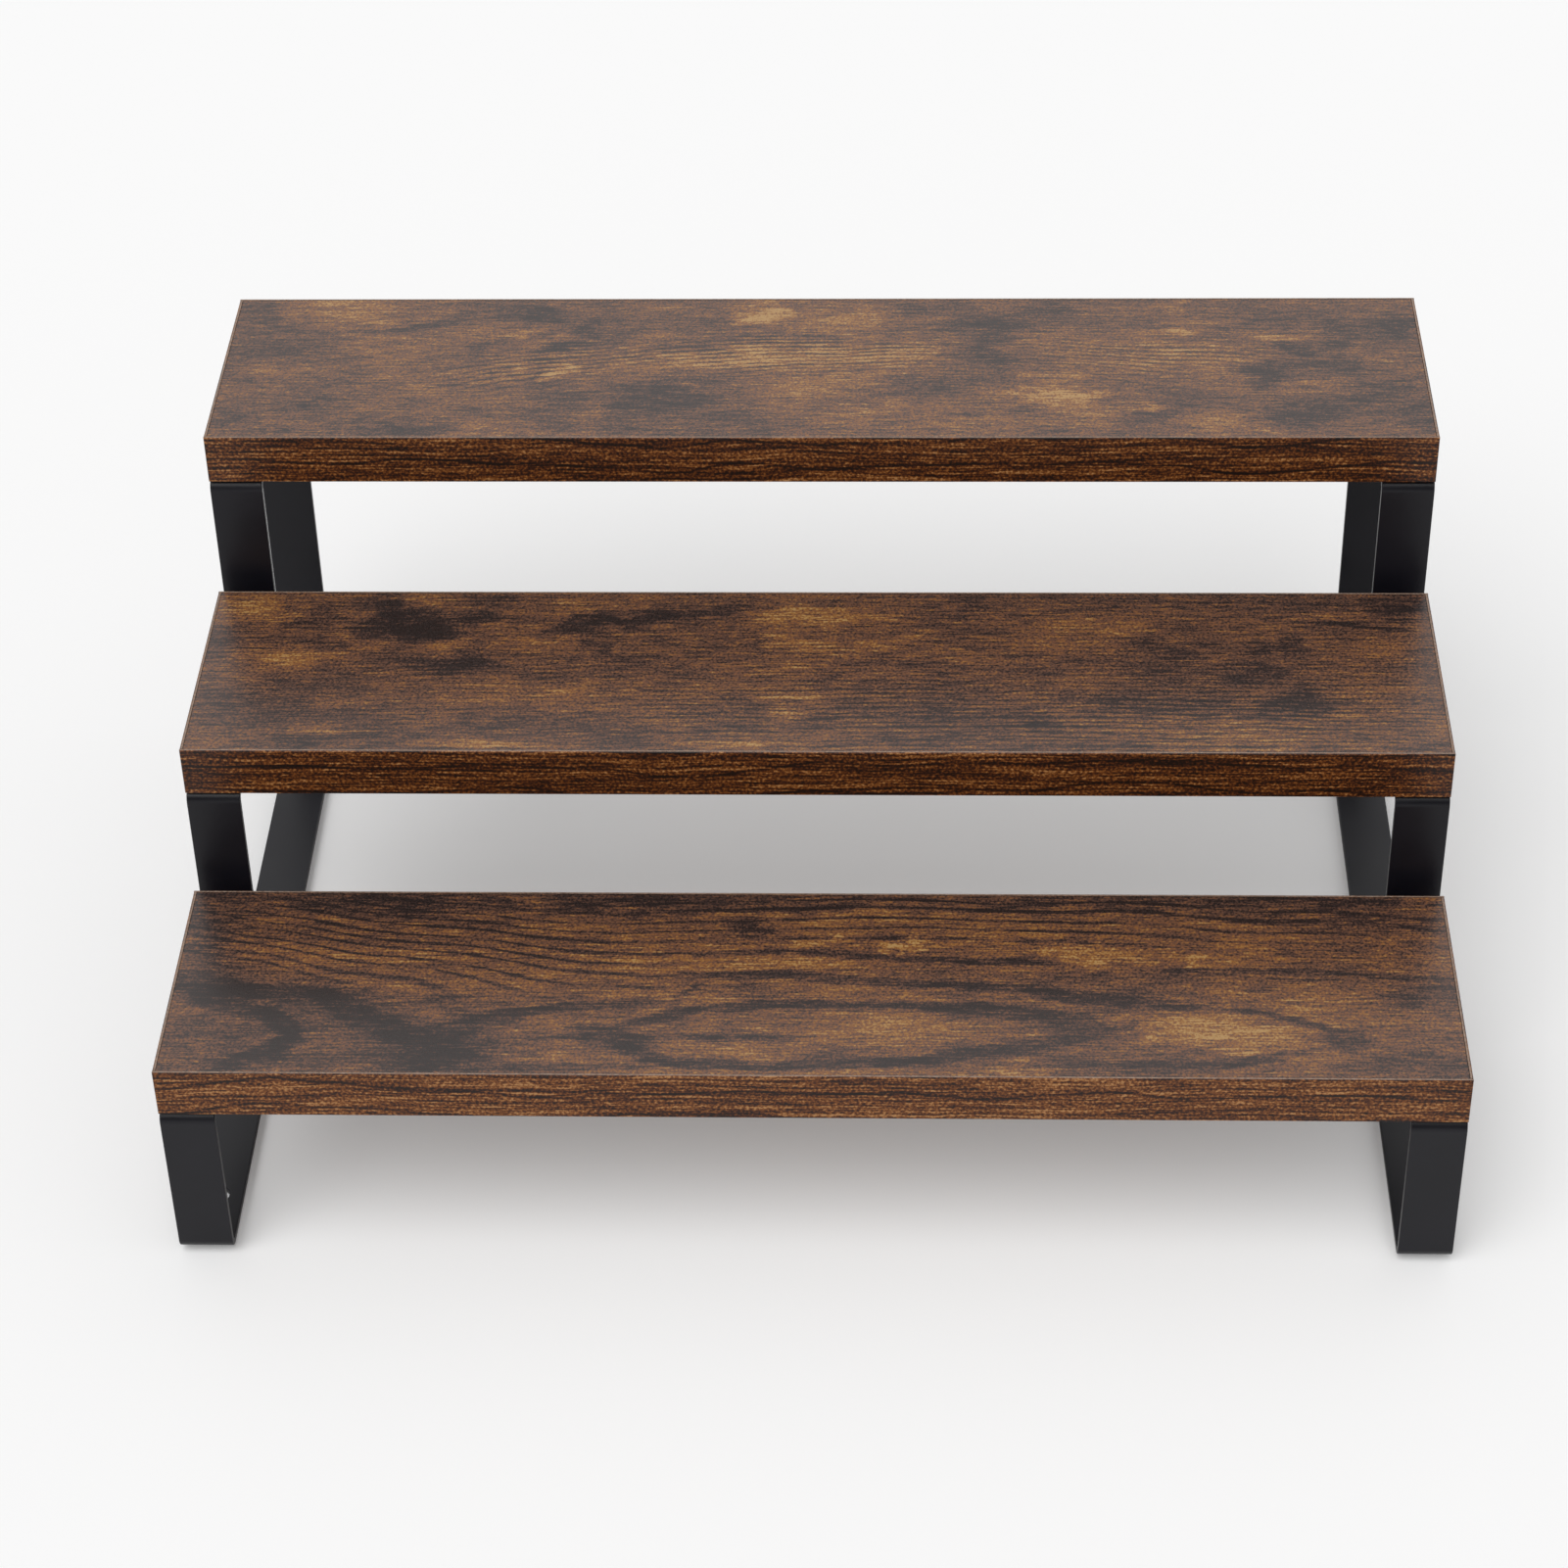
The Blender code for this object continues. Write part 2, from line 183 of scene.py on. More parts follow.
# The rail's face has to point down, out of the loop, before the strip gets its thickness inwards
lowest_face = min(left_frame.data.polygons, key=lambda face: face.center.z)
if lowest_face.normal.z > 0:
    bpy.ops.object.mode_set(mode="EDIT")
    bpy.ops.mesh.flip_normals()
    bpy.ops.object.mode_set(mode="OBJECT")
apply_modifier(left_frame, "SOLIDIFY", thickness=STRIP_THICKNESS, offset=-1, use_even_offset=True)

screw_rows = {(tier, row): box_middle(f"{tier}_left_{row}_screw").y for tier in TIERS for row in ROWS}
holes = [(y, tread_z[tier], SCREW_HOLE_DIAMETER) for (tier, _), y in screw_rows.items()]
rail_top = strip_low.z + STRIP_THICKNESS
holes += [(screw_rows["lower", row], rail_top, DRIVER_HOLE_DIAMETER) for row in ROWS]
for y, face_z, diameter in holes:
    bpy.ops.object.select_all(action="DESELECT")
    bpy.ops.mesh.primitive_cylinder_add(
        vertices=HOLE_SEGMENTS,
        radius=diameter / 2,
        depth=2 * STRIP_THICKNESS,
        location=(strip_x, y, face_z - STRIP_THICKNESS / 2),
    )
    drill = bpy.context.object
    apply_modifier(left_frame, "BOOLEAN", operation="DIFFERENCE", object=drill)
    bpy.data.objects.remove(drill)
apply_modifier(
    left_frame,
    "BEVEL",
    width=STRIP_EDGE_ROUNDING,
    segments=EDGE_SEGMENTS,
    limit_method="ANGLE",
    angle_limit=SHARP_ANGLE,
)
left_frame.select_set(True)
close_up(left_frame)
right_frame = copy_piece(left_frame, "right_frame_strip", (frame_span, 0, 0))

# Polyester powder coat, baked matte: near black, with a fine orange peel and a barely uneven sheen.
# The peel is about 0.3 mm on the real coat, and is drawn at 0.5 mm so that it shows.
COAT_STEPS = ((0.3, "#0f0e14"), (0.7, "#14131a"))
COAT_PEEL_MM = 0.5
COAT_PEEL_DEPTH = 0.00004
COAT_PEEL_STRENGTH = 0.2
COAT_CLOUD_MM = 18
COAT_ROUGHNESS = (0.32, 0.40)
COAT_SPECULAR = 0.33
MM_PER_METRE = 1000
# Most of a noise's values lie between these two
NOISE_LOW = 0.3
NOISE_HIGH = 0.7


def linear(hex_colour):
    """The linear colour of an sRGB hex value."""
    channels = [int(hex_colour[i : i + 2], 16) / 255 for i in (1, 3, 5)]
    return (*[c / 12.92 if c <= 0.04045 else ((c + 0.055) / 1.055) ** 2.4 for c in channels], 1.0)


def feed(tree, node, inputs):
    """Sets each named input of a node to a value, or links it to another node's output."""
    for name, value in inputs.items():
        if isinstance(value, bpy.types.NodeSocket):
            tree.links.new(value, node.inputs[name])
        else:
            node.inputs[name].default_value = value


def add(tree, kind, inputs, steps=(), **settings):
    """Adds a node with its settings, its inputs and, on a ramp, its steps, and gives its first output."""
    node = tree.nodes.new(kind)
    for name, value in settings.items():
        setattr(node, name, value)
    feed(tree, node, inputs)
    for count, (at, colour) in enumerate(steps):
        points = node.color_ramp.elements
        point = points[count] if count < len(points) else points.new(at)
        point.position = at
        point.color = linear(colour)
    return next(output for output in node.outputs if output.enabled)


def new_material(name):
    """An empty node material, with its tree, its shader and the surface's own place in millimetres."""
    material = bpy.data.materials.new(name)
    material.use_nodes = True
    tree = material.node_tree
    place = add(tree, "ShaderNodeTexCoord", {}).node.outputs["Object"]
    place = add(tree, "ShaderNodeVectorMath", {0: place, "Scale": MM_PER_METRE}, operation="SCALE")
    return material, tree, tree.nodes["Principled BSDF"], place


def seat(piece, node, slot, *materials):
    """Gives a finished piece its materials and puts it on the stand in place of its CAD node."""
    piece.data.materials.clear()
    for material in materials:
        piece.data.materials.append(material)
    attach(piece, "root")
    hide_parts(node)


powder_coat, tree, shader, place = new_material("matte black powder coat")
cloud = add(tree, "ShaderNodeTexNoise", {"Vector": place, "Scale": 1 / COAT_CLOUD_MM, "Detail": 3.0})
peel = add(tree, "ShaderNodeTexNoise", {"Vector": place, "Scale": 1 / COAT_PEEL_MM, "Detail": 2.0})
black = add(tree, "ShaderNodeValToRGB", {"Fac": cloud}, steps=COAT_STEPS)
smooth, rough = COAT_ROUGHNESS
sheen = add(
    tree,
    "ShaderNodeMapRange",
    {"Value": cloud, "From Min": NOISE_LOW, "From Max": NOISE_HIGH, "To Min": smooth, "To Max": rough},
)
relief = add(
    tree,
    "ShaderNodeBump",
    {"Height": peel, "Strength": COAT_PEEL_STRENGTH, "Distance": COAT_PEEL_DEPTH},
)
feed(tree, shader, {"Base Color": black, "Roughness": sheen, "Normal": relief})
feed(tree, shader, {"Specular IOR Level": COAT_SPECULAR})
seat(left_frame, "left_side_frame", "powder_coated_steel", powder_coat)
seat(right_frame, "right_side_frame", "powder_coated_steel", powder_coat)

# Foot pads: four round rubber pads, 10 mm across, cut from sheet with an eased lower rim.
# They stick to the underside of the floor rails near their ends and keep the steel off the counter.
SIDES = ("left", "right")
PAD_RIM_ROUNDING = 0.0004
PAD_RIM_SEGMENTS = 4
PAD_SEGMENTS = 48
PAD_DISH_INSET = 0.0011
PAD_DISH_DEPTH = 0.00015
# A face counts as level where the upright part of its normal passes this
LEVEL = 0.99
pad_low, pad_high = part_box("front_left_foot_pad")
pad_height = pad_high.z - pad_low.z
bpy.ops.object.select_all(action="DESELECT")
bpy.ops.mesh.primitive_cylinder_add(
    vertices=PAD_SEGMENTS,
    radius=(pad_high.x - pad_low.x) / 2,
    depth=pad_height,
    location=box_middle("front_left_foot_pad"),
)
pad = begin("front_left_pad")
pick(pad, "EDGE", lambda edge: all(abs(point.co.z + pad_height / 2) < SAME_SPOT for point in edge.verts))
bpy.ops.mesh.bevel(offset=PAD_RIM_ROUNDING, segments=PAD_RIM_SEGMENTS, affect="EDGES")
pick(pad, "FACE", lambda face: face.normal.z < -LEVEL)
bpy.ops.mesh.inset(thickness=PAD_DISH_INSET)
bpy.ops.mesh.inset(thickness=PAD_DISH_DEPTH)
bpy.ops.transform.translate(value=(0, 0, PAD_DISH_DEPTH))
bpy.ops.object.mode_set(mode="OBJECT")
close_up(pad)

# Black rubber sheet: matte, faintly dusty, with the sanded grain of cut sheet about 0.4 mm across.
RUBBER_STEPS = ((0.3, "#191918"), (0.7, "#242322"))
RUBBER_GRAIN_MM = 0.4
RUBBER_GRAIN_DEPTH = 0.00006
RUBBER_GRAIN_STRENGTH = 0.5
RUBBER_ROUGHNESS = 0.85
rubber, tree, shader, place = new_material("black sheet rubber")
grain = add(tree, "ShaderNodeTexNoise", {"Vector": place, "Scale": 1 / RUBBER_GRAIN_MM, "Detail": 3.0})
black = add(tree, "ShaderNodeValToRGB", {"Fac": grain}, steps=RUBBER_STEPS)
relief = add(
    tree,
    "ShaderNodeBump",
    {"Height": grain, "Strength": RUBBER_GRAIN_STRENGTH, "Distance": RUBBER_GRAIN_DEPTH},
)
feed(tree, shader, {"Base Color": black, "Roughness": RUBBER_ROUGHNESS, "Normal": relief})
for row in ROWS:
    for side in SIDES:
        node = f"{row}_{side}_foot_pad"
        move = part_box(node)[0] - pad_low
        piece = pad if node == "front_left_foot_pad" else copy_piece(pad, f"{row}_{side}_pad", move)
        seat(piece, node, "rubber_pad", rubber)

# Board cores: pressed particle board, 13.8 mm, sawn to size and drilled for the screws from below.
# Laminate and edge bands cover it on all sides, so its CAD solids stay and only take the chips' look.
CHIP_STEPS = ((0.0, "#8a6a45"), (0.35, "#a9865a"), (0.7, "#c3a273"), (1.0, "#d8bc8e"))
CHIP_MM = 2.2
CHIP_RELIEF_DEPTH = 0.0002
CHIP_RELIEF_STRENGTH = 0.6
CHIP_ROUGHNESS = 0.9
particle_board, tree, shader, place = new_material("particle board chips")
chip_cells = {"Vector": place, "Scale": 1 / CHIP_MM}
chips = add(tree, "ShaderNodeTexVoronoi", chip_cells).node.outputs["Color"]
chip_tone = add(tree, "ShaderNodeSeparateColor", {"Color": chips})
chip_rims = add(tree, "ShaderNodeTexVoronoi", chip_cells, feature="DISTANCE_TO_EDGE")
tan = add(tree, "ShaderNodeValToRGB", {"Fac": chip_tone}, steps=CHIP_STEPS)
relief = add(
    tree,
    "ShaderNodeBump",
    {"Height": chip_rims, "Strength": CHIP_RELIEF_STRENGTH, "Distance": CHIP_RELIEF_DEPTH},
)
feed(tree, shader, {"Base Color": tan, "Roughness": CHIP_ROUGHNESS, "Normal": relief})
for tier in TIERS:
    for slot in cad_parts[f"{tier}_board_core"].material_slots:
        slot.material = particle_board

# Laminates: melamine paper, printed as dark rustic wood, pressed onto both faces of the board.
# Each board is cut from another stretch of the paper. Its film is satin and finely embossed.
PRINT_STEPS = (
    (0.0, "#29201e"),
    (0.2, "#382a27"),
    (0.42, "#5c4134"),
    (0.56, "#724d3a"),
    (0.7, "#855731"),
    (0.85, "#996a36"),
    (1.0, "#b08a57"),
)
# Streaks along the grain: length and width of the largest blots in mm, detail, roughness, strength.
# The last is the printing screen, about 0.2 mm on the real paper, drawn at 0.8 mm so that it shows.
PRINT_STREAKS = (
    (60, 20, 7, 0.8, 1.1),
    (45, 1.0, 3, 0.6, 0.5),
    (10, 0.6, 2, 0.65, 1.0),
    (2.4, 1.2, 1, 0.6, 0.4),
    (0.8, 0.8, 1, 0.6, 0.9),
)
# The stretch of print on each board, in mm from the board's middle.
# paper: where on the roll it is cut, so that no two have the same streaks. base: the tone of its ground.
# clouds and veins: x, y, half length, half width, turn in degrees and strength, dark below zero and golden
# above. Clouds have ragged rims, and veins fray along the grain.
# hearts: the middles of the growth-ring figure: x, y, how many times longer than wide its rings run there,
# how much faster they come, and their turn. fray: the share of the veins' fraying that the rings take on.
# lines: the ring lines' pitch, the reach of the first, half width and depth, and their strength everywhere.
# line_clouds: where the lines are stronger, written as clouds are.
PRINTS = {
    "lower": {
        "paper": 11,
        "base": 0.5,
        "clouds": (
            # the blotch at the left and the shade round it
            (-100, -27, 18, 13, 0, -0.50), (-140, -22, 40, 18, 0, -0.20),
            # gold along the front and in the inner loop
            (53, -34, 9, 3, 0, 0.22), (20, -36, 90, 4, 0, 0.12), (-20, -26, 30, 7, 0, 0.10),
            (30, -20, 34, 6, 0, 0.16),
            # the golden oval, and the golden spots behind the loops
            (112, -21, 26, 10, 0, 0.40), (81, 11.5, 18, 5, 0, 0.34), (67, 13.5, 3.5, 4, 0, 0.18),
            (106, 10, 6, 4, 0, 0.24), (1, 16, 5, 2.5, 0, 0.36), (26, 15.4, 9, 1.8, -4, 0.60),
            (8, 17.5, 5, 2, 0, 0.32),
            # a small knot at the back, and dark marks beside the loops
            (-17, 23, 4.5, 5, 0, -0.34), (76, 4.5, 6, 4, 0, -0.22), (99, 5, 4, 6, 0, -0.16),
            (88, -17, 4, 3, 0, -0.26),
            # shade at the right end
            (167, -6, 14, 9, 0, -0.28), (160, -32, 26, 6, 4, -0.24), (148, 26, 34, 14, 0, -0.30),
            # the ground, warm in the middle and darker at the left, with a painted shadow along the back,
            # under the front of the middle board
            (-20, 6, 44, 9, 0, 0.16), (0, 37, 260, 9, 0, -0.34), (138, -8, 18, 10, 0, 0.12),
            (-35, -7, 10, 3, 15, 0.16), (-115, 22, 90, 16, 0, -0.15), (-168, 22, 14, 20, 0, -0.22),
        ),
        "veins": (
            # two arcs round a knot off the left end
            (-166, -2, 16, 6, -8, -0.36), (-148, -5.5, 26, 4.5, -3, -0.50), (-126, -12, 14, 5, -38, -0.40),
            (-113, -19, 8, 5, -50, -0.30), (-158, -11, 17, 4, -15, -0.32), (-143, -18, 10, 4, -45, -0.36),
            (-141, -25, 8, 3.6, 72, -0.36), (-151, -32, 13, 3.2, 35, -0.34),
            # the arm from the blotch to the long line over the loops
            (-84, -14.5, 17, 3, 12, -0.36), (-56, -10, 25, 2.2, 4, -0.36), (-34, -4.5, 8, 1.8, 45, -0.30),
            (-12, 3, 23, 2, 2, -0.42), (-24, -2, 12, 1.2, 0, -0.16), (20, 0.5, 32, 2, -3, -0.36),
            (50, -2, 20, 2, -3, -0.30), (79, -6.5, 26, 3, -8, -0.34),
            # the inner loop, heavy at both tips
            (-52, -23, 14, 5, -12, -0.40), (-40, -14.5, 15, 2.6, 18, -0.40), (-16, -9.5, 21, 2.2, 5, -0.42),
            (25, -9.5, 34, 2.3, 0, -0.36), (48, -11.5, 20, 3.4, -4, -0.34), (70, -18, 15, 6, -15, -0.28),
            (60, -25, 16, 3.4, 12, -0.26), (38, -29.5, 16, 2.8, 13, -0.34), (12, -32.5, 24, 2.4, 3, -0.40),
            (-20, -33.5, 27, 2, -2, -0.40), (-44, -29.5, 11, 2.8, -25, -0.38),
            (-20, -22.5, 22, 1.8, 0, -0.34), (-73, -23, 14, 1.2, 2, -0.18), (-60, -34.5, 22, 1.4, 0, -0.28),
            # the outer loop round the golden oval
            (112, -10.5, 18, 1.5, -5, -0.34), (131, -15, 14, 1.7, -18, -0.38), (143, -22, 8, 4.6, 0, -0.42),
            (124, -29, 15, 1.9, 14, -0.36), (95, -32.5, 25, 1.7, 0, -0.26), (64, -32.5, 20, 1.4, 0, -0.16),
            # the next line behind
            (-22, 12.2, 28, 1.6, 3, -0.36), (20, 10.5, 28, 1.5, -4, -0.36), (50, 9, 18, 1.7, 0, -0.36),
            (115, 5.6, 26, 1.3, -1, -0.28), (155, 3.8, 22, 1.4, -4, -0.30),
        ),
        "hearts": ((18, -21, 5.7, 1.0, 0), (-172, 5, 8.0, 1.3, -10)),
        "fray": 0.3,
        "lines": {"pitch": 4.4, "first": 3.5, "half_width": 0.95, "depth": 0.5, "everywhere": 0.05},
        "line_clouds": ((-106, 14, 92, 22, -6, 0.8), (60, 27, 140, 14, 0, 0.8)),
    },
    "middle": {
        "paper": 37,
        "base": 0.435,
        "clouds": (
            # the dark blotch at the left and the bar before it
            (-127, 25, 8, 13, 0, -0.40), (-113, 19, 15, 8, 0, -0.46), (-98, 25, 8, 6, 20, -0.30),
            (-115, 24, 14, 7, 0, -0.20), (-95, 35, 10, 4, 0, -0.16), (-104, 1.5, 19, 4.5, 0, -0.28),
            # the dark branch to its right
            (-66, 22, 17, 5.5, 20, -0.44), (-52, 24, 12, 5, 15, -0.22), (-40, 26, 20, 6, 8, -0.26),
            (-63, 11, 4.5, 6, 0, -0.24),
            # gold round both
            (-162, 28, 17, 12, 0, 0.36), (-114, 33, 9, 4.5, 0, 0.20), (-82, 9, 15, 9, 0, 0.18),
            (-91, 20, 5, 4, 0, 0.14), (-106, 11.5, 9, 4, 8, 0.22), (-152, 5, 16, 4, 0, 0.26),
            (-72, 30, 7, 4, 0, 0.18), (-80, -10, 26, 7, 0, 0.08), (-135, -25, 11, 3, 0, 0.12),
            # gold in the middle and at the right
            (-8, 27, 15, 6, 0, 0.34), (-8, 14, 14, 7, 0, 0.24), (10, 25, 14, 6, 0, 0.28),
            (-4, -14, 15, 9, 0, 0.20), (5, 5, 52, 34, 0, 0.06), (75, 18, 20, 9, 0, 0.10),
            (146, 26, 12, 3, 0, 0.20), (155, 12, 12, 6, 0, 0.14), (128, -28, 50, 10, 0, 0.12),
            # knots at the right
            (131, 11.5, 11, 4.5, 0, -0.34), (123, -1, 10, 5.5, 0, -0.30), (133, -14, 12, 7, 0, -0.44),
            (63, -25.5, 6, 4.5, 0, -0.50), (100, 11, 16, 6, 0, -0.16), (60, 3, 26, 8, 0, -0.10),
            # dark corners and small dark marks
            (167, 32, 10, 8, 0, -0.34), (43, 32, 8, 6, 0, -0.20), (-22, 13, 3.5, 2.5, 0, -0.20),
            (-141, 13, 9, 5, 0, -0.24), (-143, -34, 10, 3.5, 0, -0.20), (-160, -20, 24, 18, 0, -0.10),
            (-171, 0, 7, 36, 0, -0.10),
        ),
        "veins": (
            (153, 21.5, 19, 1.2, -8, -0.40), (-94, -34.5, 20, 2, 0, 0.40), (-24, -34.5, 16, 1.8, 0, 0.34),
            (-6, -13, 10, 1.2, 0, 0.32), (-8, -20.5, 8, 1.2, 0, 0.30), (-135, -29, 14, 1.2, 0, 0.24),
        ),
        "hearts": ((60, -150, 5.0, 1.0, 0),),
        "fray": 0.5,
        "lines": {"pitch": 2.1, "first": 0, "half_width": 0.7, "depth": 0.3, "everywhere": 0.35},
        "line_clouds": ((110, -24, 80, 26, 0, 0.8), (10, -20, 80, 20, 0, 0.5)),
    },
    "upper": {
        "paper": 71,
        "base": 0.49,
        "clouds": (
            # the left end, dark with gold at the back
            (-168, 28, 8, 12, 0, -0.20), (-157, 13, 14, 9, 0, -0.20), (-171, 5, 7, 20, 0, -0.10),
            (-145, 0, 18, 8, 0, -0.08), (-168, -27, 7, 7, 0, -0.24), (-146, -19, 7, 2.5, 0, -0.26),
            (-150, -35, 14, 2.5, 0, -0.20), (-117, -34, 16, 3.5, 0, -0.24), (-143, 30, 20, 9, 0, 0.30),
            (-130, 14, 12, 6, 0, 0.18),
            # the flame: a knot, and pale tongues that rise beside it
            (-83, 28, 10, 6.5, 0, -0.32), (-98, 12, 10, 4, 20, -0.20), (-67, 19, 4, 9, 0, -0.20),
            (-87, 18, 6, 3.5, 20, 0.22), (-75, 17, 4, 3, 30, 0.20), (-91, 3, 6, 4, 10, 0.20),
            (-77, -4, 10, 5, 30, 0.32), (-46, 18, 14, 8, 0, 0.16),
            # shade before the flame
            (-50, -17, 30, 11, 0, -0.28), (-42, -16, 14, 8, 0, -0.14), (-82, -26, 16, 12, 0, -0.20),
            (-58, -31, 7, 5, 0, -0.14), (-65, -19, 6, 5, 0, 0.14),
            # gold in the middle
            (-17, 29.5, 13, 7, 0, 0.56), (8, 24, 18, 12, 0, 0.24), (-20, 5, 26, 9, 0, 0.26),
            (15, 6, 22, 8, 0, 0.18), (2, -7, 24, 10, 0, 0.24), (-6, -16, 6, 4, 0, 0.20),
            (19, -18, 6, 4, 0, 0.18), (0, -22, 30, 12, 0, 0.14),
            # the dark fork right of the middle
            (26, 31, 8, 6, 0, -0.18), (49, 22, 13, 10, 0, -0.34), (66, 30, 10, 7, 0, -0.24),
            (44, 8, 11, 9, 0, -0.26), (32, -10, 4.5, 6, 0, -0.26),
            # gold at the right
            (68, -16, 15, 5, 0, 0.48), (67, -6, 12, 7, 0, 0.26), (92, -21, 5, 3.5, 0, 0.34),
            (95, 5, 34, 9, 0, 0.12), (103, 18, 6, 4, 0, 0.34), (103, 34, 8, 4, 0, 0.22),
            (113, -29, 8, 5, 0, 0.14), (76, -33, 10, 4, 0, 0.10), (143, -9, 7, 5, 0, 0.16),
            # dark marks, and the shaded right end
            (118, 21, 6, 4, 0, -0.22), (128, 25, 3, 6, 0, -0.16), (138, 9, 8, 4.5, 0, -0.36),
            (128, -5, 8, 12, -25, -0.30), (94, -27, 9, 5, 0, -0.30), (103, -19, 6, 4, 0, -0.18),
            (60, -25, 14, 4, 0, -0.16), (152, 20, 8, 12, 0, -0.20), (151, 2, 5, 8, 0, -0.18),
            (168, 23, 9, 8, 0, -0.24), (160, -14, 10, 8, 0, -0.20), (137, -27, 16, 10, 0, -0.26),
            (171, -26, 7, 10, 0, -0.20), (150, 0, 32, 34, 0, -0.10),
        ),
        "veins": (
            (-117, 22.5, 13, 2, 15, -0.36), (-77, 10.5, 11, 3, 20, -0.40), (134, 15.5, 11, 2, 0, 0.26),
            (-76, -3, 10, 1.4, 35, 0.16), (-87, -6.5, 12, 1.4, 15, 0.14),
        ),
        "hearts": ((30, -60, 3.0, 1.0, 0),),
        "fray": 0.35,
        "lines": {"pitch": 2.0, "first": 0, "half_width": 0.7, "depth": 0.42, "everywhere": 0.1},
        "line_clouds": ((-12, 6, 60, 13, 0, 1.0), (95, 6, 42, 11, 0, 0.8), (-84, -1, 32, 12, 20, 0.9)),
    },
}
# Clouds and veins are firm over the core and fade out at the rim, in shares of their half lengths
CLOUD_CORE = 0.25
VEIN_CORE = 0.5
PATCH_RIM = 1.2
# Noises that pull the print about, and its mottle: length and width of the blots in mm, detail, roughness
FRAY_NOISE = (10, 1.5, 3, 0.6)
FRAY_REACH_MM = (8, 3.2, 0)
WANDER_NOISE = (50, 40, 1, 0.5)
WANDER_REACH_MM = (20, 5, 0)
RAG_NOISE = (14, 8, 4, 0.6)
RAG_REACH_MM = (26, 16, 0)
MOTTLE_NOISE = (9, 2.5, 4, 0.75)
MOTTLE_RANGE = (0.55, 1.25)
LATTICE_TURN = 0.6
# Rings of two hearts run into each other over this reach. A ring strays by a share of the pitch
RING_MERGE_MM = 14
RING_STRAY = 0.7
RING_STRAY_PACE = 0.6
# Swelling and breaks along a ring line, written as noises with length and width in pitches
LINE_SWELL_NOISE = (6, 1, 3, 0.6)
LINE_SWELL_RANGE = (0.5, 1.5)
LINE_BREAK_NOISE = (7, 1.2, 3, 0.6)
LINE_BREAK_RANGE = (0.26, 0.46)
LINE_CORE = 0.15
LINE_HALO = 0.3
FILM_ROUGHNESS = (0.26, 0.36)
FILM_EMBOSS_DEPTH = 0.00005
FILM_EMBOSS_STRENGTH = 0.2
SPECK_REACH = 0.2


def oval_reach(tree, place, x, y, half_length, half_width, turn):
    """How far a place lies from an oval's middle, as a share of the way to its rim."""
    oval = add(
        tree,
        "ShaderNodeMapping",
        {
            "Vector": place,
            "Location": (x, y, 0),
            "Rotation": (0, 0, math.radians(turn)),
            "Scale": (half_length, half_width, 1),
        },
        vector_type="TEXTURE",
    )
    return add(tree, "ShaderNodeVectorMath", {0: oval}, operation="LENGTH").node.outputs["Value"]


def patchwork(tree, place, tone, patches, core):
    """Adds oval patches to a tone, each firm over its core and fading out past its rim."""
    for *oval, strength in patches:
        fade = add(
            tree,
            "ShaderNodeMapRange",
            {
                "Value": oval_reach(tree, place, *oval),
                "From Min": PATCH_RIM,
                "From Max": core,
                "To Max": strength,
            },
            interpolation_type="SMOOTHSTEP",
        )
        tone = add(tree, "ShaderNodeMath", {0: tone, 1: fade}, operation="ADD")
    return tone


def along_grain(tree, place, length, width, detail, roughness, paper):
    """Noise drawn out along the grain, with blots of a size in mm and its lattice turned out of sight."""
    stretched = add(
        tree,
        "ShaderNodeMapping",
        {
            "Vector": place,
            "Location": (paper, paper * 3, 0),
            "Rotation": (0, 0, LATTICE_TURN),
            "Scale": (1 / length, 1 / width, 1),
        },
    )
    noise = {"Vector": stretched, "Scale": 1.0, "Detail": detail, "Roughness": roughness}
    return add(tree, "ShaderNodeTexNoise", noise, noise_dimensions="2D").node.outputs


def stray(tree, place, noise, reach):
    """A place that strays with a noise, by up to about a quarter of reach each way."""
    about = add(tree, "ShaderNodeVectorMath", {0: noise["Color"], 1: (0.5, 0.5, 0.5)}, operation="SUBTRACT")
    return add(tree, "ShaderNodeVectorMath", {0: about, 1: reach, 2: place}, operation="MULTIPLY_ADD")


def streaked(tree, place, tone, streaks, paper):
    """Adds streaks along the grain to a tone, and gives it with the last and finest of them."""
    for length, width, detail, roughness, strength in streaks:
        streak = along_grain(tree, place, length, width, detail, roughness, paper + length)["Fac"]
        streak = add(tree, "ShaderNodeMath", {0: streak, 1: 0.5}, operation="SUBTRACT")
        tone = add(tree, "ShaderNodeMath", {0: streak, 1: strength, 2: tone}, operation="MULTIPLY_ADD")
    return tone, streak


